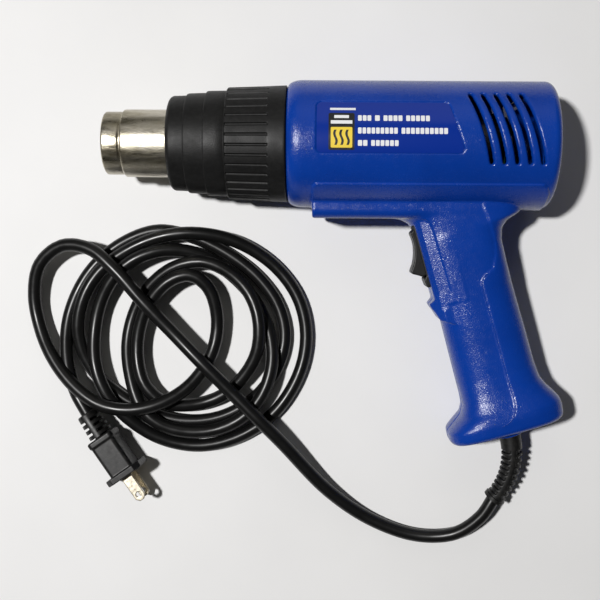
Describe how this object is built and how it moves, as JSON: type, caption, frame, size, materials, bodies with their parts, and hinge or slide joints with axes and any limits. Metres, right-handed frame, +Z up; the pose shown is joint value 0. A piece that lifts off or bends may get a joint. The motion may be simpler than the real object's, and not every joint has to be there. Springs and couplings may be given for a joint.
{
  "type": "heat gun",
  "caption": "Pistol-grip hot-air gun lying on its side: round blue body, stepped black heat shield, steel nozzle, rocker switch, long mains lead with plug.",
  "frame": {"origin": "on the bench, below the middle of the gun's own box (lead and plug left out)", "axes": "+X along the barrel towards its flat rear, +Y across the bench from the grip's foot to the barrel, +Z up; the gun lies on its right flank"},
  "size_m": [0.3142, 0.2684, 0.0709],
  "materials": {
    "blue_plastic": "moulded, fine spark-eroded grain",
    "label": "glossy printed film",
    "black_plastic": "matt",
    "rubber": "satin",
    "nozzle_steel": "worn, straw-tinted by heat",
    "screw_steel": "plain zinc",
    "bright_steel": "bright",
    "bronze": "sintered",
    "copper": "satin",
    "mica": "layered sheet",
    "ceramic": "unglazed",
    "wire_white": "satin",
    "wire_red": "satin",
    "heating_wire": "oxidised",
    "board": "coated board"
  },
  "bodies": {
    "housing": {"left_shell": "blue_plastic", "right_shell": "blue_plastic", "label_plate": "label", "switch_case": "black_plastic", "air_funnel": "black_plastic", "motor_bracket": "black_plastic", "motor_end_cap": "black_plastic", "diode_1": "black_plastic", "diode_2": "black_plastic", "diode_3": "black_plastic", "diode_4": "black_plastic", "cord_clamp": "black_plastic", "mains_lead": "rubber", "plug_body": "rubber", "strain_relief": "rubber", "lead_tail": "rubber", "live_wire": "rubber", "nozzle_tube": "nozzle_steel", "flange_screw_1": "screw_steel", "flange_screw_2": "screw_steel", "flange_screw_3": "screw_steel", "housing_screw_1": "screw_steel", "housing_screw_2": "screw_steel", "housing_screw_3": "screw_steel", "housing_screw_4": "screw_steel", "housing_screw_5": "screw_steel", "housing_screw_6": "screw_steel", "motor_screw_1": "screw_steel", "motor_screw_2": "screw_steel", "clamp_screw_1": "screw_steel", "clamp_screw_2": "screw_steel", "motor_can": "screw_steel", "motor_magnet_1": "screw_steel", "motor_magnet_2": "screw_steel", "plug_blade_1": "bright_steel", "plug_blade_2": "bright_steel", "rocker_pin": "bright_steel", "front_bush": "bronze", "rear_bush": "bronze", "mica_sleeve": "mica", "heater_cross": "mica", "heater_end_disc": "ceramic", "thermal_cutout": "ceramic", "neutral_wire": "wire_white", "heater_wire": "wire_red", "heater_coil": "heating_wire", "rectifier_board": "board"},
    "shield": {"heat_shield": "black_plastic"},
    "rotor": {"motor_shaft": "bright_steel", "armature": "copper", "commutator": "copper", "fan": "black_plastic"},
    "rocker": {"switch_rocker": "black_plastic"}
  },
  "joints": [
    {"name": "rotor_spin", "type": "hinge", "parent": "housing", "child": "rotor", "pos_m": [0, 0.0673, 0.0355], "axis": [1, 0, 0], "continuous": true},
    {"name": "shield_twist", "type": "hinge", "parent": "housing", "child": "shield", "pos_m": [0, 0.0673, 0.0355], "axis": [1, 0, 0], "range_deg": [0, 30]},
    {"name": "rocker_tip", "type": "hinge", "parent": "housing", "child": "rocker", "pos_m": [0.04996, 0.00701, 0.03022], "axis": [0, -0.0872, 0.9962], "range_deg": [0, 22]}
  ]
}
